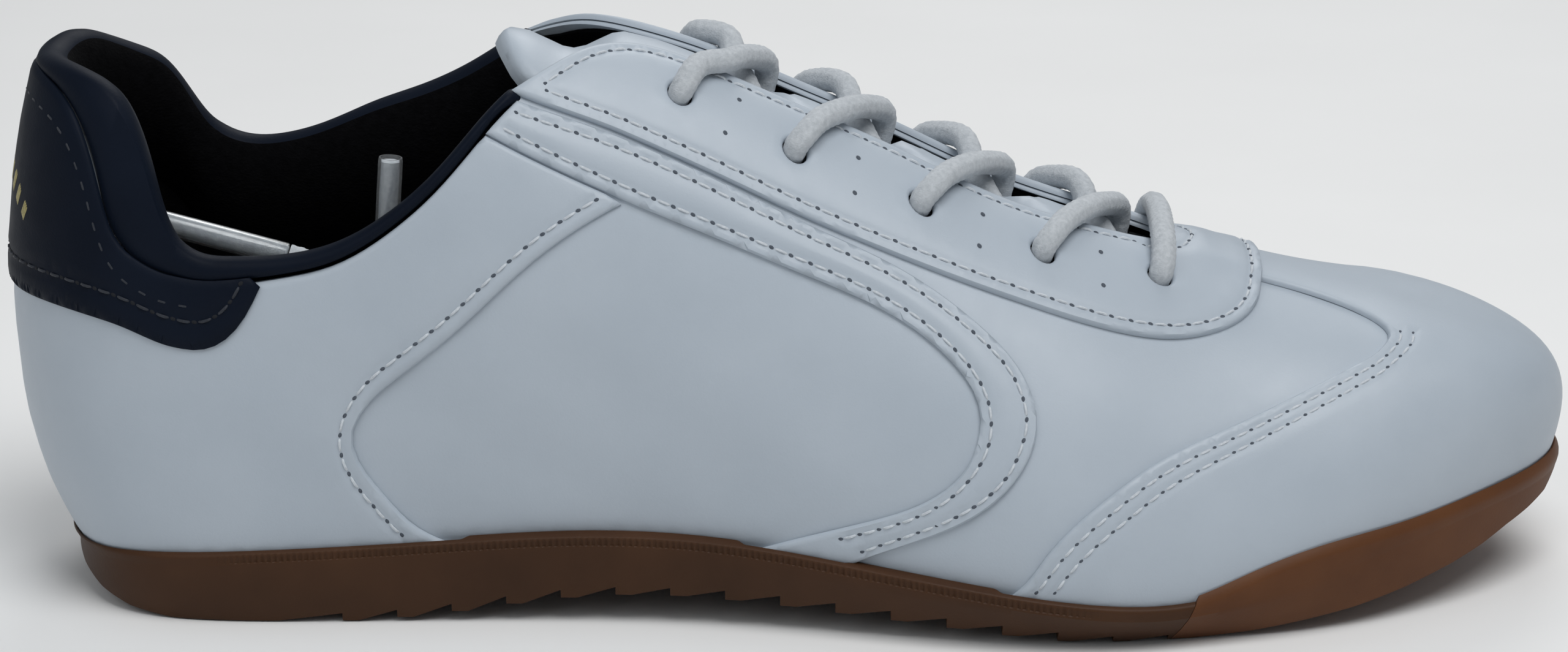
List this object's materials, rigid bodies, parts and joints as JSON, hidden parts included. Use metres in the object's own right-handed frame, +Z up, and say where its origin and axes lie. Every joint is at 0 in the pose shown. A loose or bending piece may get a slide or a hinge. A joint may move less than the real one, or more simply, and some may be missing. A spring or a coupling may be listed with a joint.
{
  "type": "court shoe",
  "caption": "Low-cut leather court shoe for the right foot, with a laced throat, padded ankle collar and a gum rubber cup sole that wraps up over the toe.",
  "frame": {"origin": "on the ground, under the middle of the shoe's outline", "axes": "+X towards the toe, +Y towards the inner (medial) side of the foot, +Z up"},
  "size_m": [0.2954, 0.1023, 0.107],
  "materials": {
    "white_leather": "smooth coated leather, semi-matt",
    "navy_leather": "smooth coated leather, semi-matt",
    "black_lining": "matt textile lining",
    "gum_rubber": "semi-matt natural gum rubber",
    "white_lace": "braided round lace",
    "clear_plastic": "clear acetate film over the lace end",
    "foam": "open-cell foam",
    "fibreboard": "pressed cellulose board",
    "counter_board": "thermoplastic stiffener sheet",
    "spring_steel": "plain spring steel strip"
  },
  "bodies": {
    "shoe": {"outsole": "gum_rubber", "toe_bumper": "gum_rubber", "heel_wedge": "foam", "shank": "spring_steel", "insole_board": "fibreboard", "sock_liner": "black_lining", "vamp": "white_leather", "side_panel_lateral": "white_leather", "side_panel_medial": "white_leather", "toe_cap": "white_leather", "side_stripe_lateral": "white_leather", "side_stripe_medial": "white_leather", "rear_quarter_lateral": "white_leather", "rear_quarter_medial": "white_leather", "eyestay": "white_leather", "heel_patch": "navy_leather", "toe_puff": "counter_board", "heel_counter": "counter_board", "vamp_lining": "black_lining", "quarter_lining": "black_lining", "collar": "navy_leather", "collar_foam": "foam", "lace_crossed": "white_lace", "lace_tail_lateral": "white_lace", "lace_tail_medial": "white_lace", "aglet_lateral": "clear_plastic", "aglet_medial": "clear_plastic"},
    "tongue": {"tongue": "white_leather", "tongue_foam": "foam", "tongue_lining": "black_lining"}
  },
  "joints": [
    {"name": "tongue_hinge", "type": "hinge", "parent": "shoe", "child": "tongue", "pos_m": [0.0741, 0, 0.0576], "axis": [0, 1, 0], "range_deg": [-10, 0], "stiffness_Nm_per_rad": 0.06, "springref_deg": 8.59}
  ]
}
